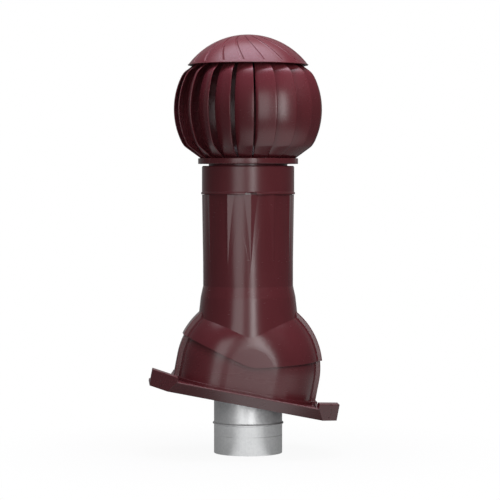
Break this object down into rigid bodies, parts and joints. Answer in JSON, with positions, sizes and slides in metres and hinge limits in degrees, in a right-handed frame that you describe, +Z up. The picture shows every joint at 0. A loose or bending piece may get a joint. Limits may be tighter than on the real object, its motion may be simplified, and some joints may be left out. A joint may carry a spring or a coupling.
{
  "type": "turbine roof vent",
  "caption": "Ball-shaped wind turbine of curved blades on an insulated pipe, with a hood that tilts on a roof base and a sheet-metal duct spigot below.",
  "frame": {"origin": "centre of the duct spigot's lower end", "axes": "+Z up the duct and mast, +X down the slope of the roof, +Y across the slope away from the viewer"},
  "size_m": [0.3444, 0.272, 0.764],
  "materials": {
    "wine_plastic": "semi-gloss moulded",
    "galvanised_sheet": "galvanised",
    "foam": "foam",
    "dark_plastic": "moulded",
    "plated_steel": "zinc plated",
    "bearing_steel": "ground"
  },
  "bodies": {
    "base": {"base_flashing": "wine_plastic"},
    "mast": {"hood_mast": "wine_plastic", "inner_duct": "galvanised_sheet", "insulation": "foam", "duct_top_ring": "dark_plastic", "collar": "wine_plastic", "axle": "plated_steel", "axle_washer": "plated_steel", "axle_nut": "plated_steel", "axle_sleeve": "plated_steel", "bearing_spacer": "plated_steel", "top_washer": "plated_steel", "lock_nut": "plated_steel", "lower_bearing_inner_ring": "bearing_steel", "lower_bearing_balls": "bearing_steel", "upper_bearing_inner_ring": "bearing_steel", "upper_bearing_balls": "bearing_steel"},
    "turbine": {"cap": "wine_plastic", "lower_ring": "wine_plastic", "bearing_housing": "dark_plastic", "lower_bearing_outer_ring": "bearing_steel", "upper_bearing_outer_ring": "bearing_steel", "cap_screws": "plated_steel", "blade_01": "wine_plastic", "blade_02": "wine_plastic", "blade_03": "wine_plastic", "blade_04": "wine_plastic", "blade_05": "wine_plastic", "blade_06": "wine_plastic", "blade_07": "wine_plastic", "blade_08": "wine_plastic", "blade_09": "wine_plastic", "blade_10": "wine_plastic", "blade_11": "wine_plastic", "blade_12": "wine_plastic", "blade_13": "wine_plastic", "blade_14": "wine_plastic", "blade_15": "wine_plastic", "blade_16": "wine_plastic", "blade_17": "wine_plastic", "blade_18": "wine_plastic", "blade_19": "wine_plastic", "blade_20": "wine_plastic"}
  },
  "joints": [
    {"name": "pitch_adjust", "type": "hinge", "parent": "base", "child": "mast", "pos_m": [0, 0, 0.1565], "axis": [0, 1, 0], "range_deg": [-14, 11]},
    {"name": "turbine_spin", "type": "hinge", "parent": "mast", "child": "turbine", "pos_m": [0, 0, 0.628], "axis": [0, 0, 1], "continuous": true}
  ]
}
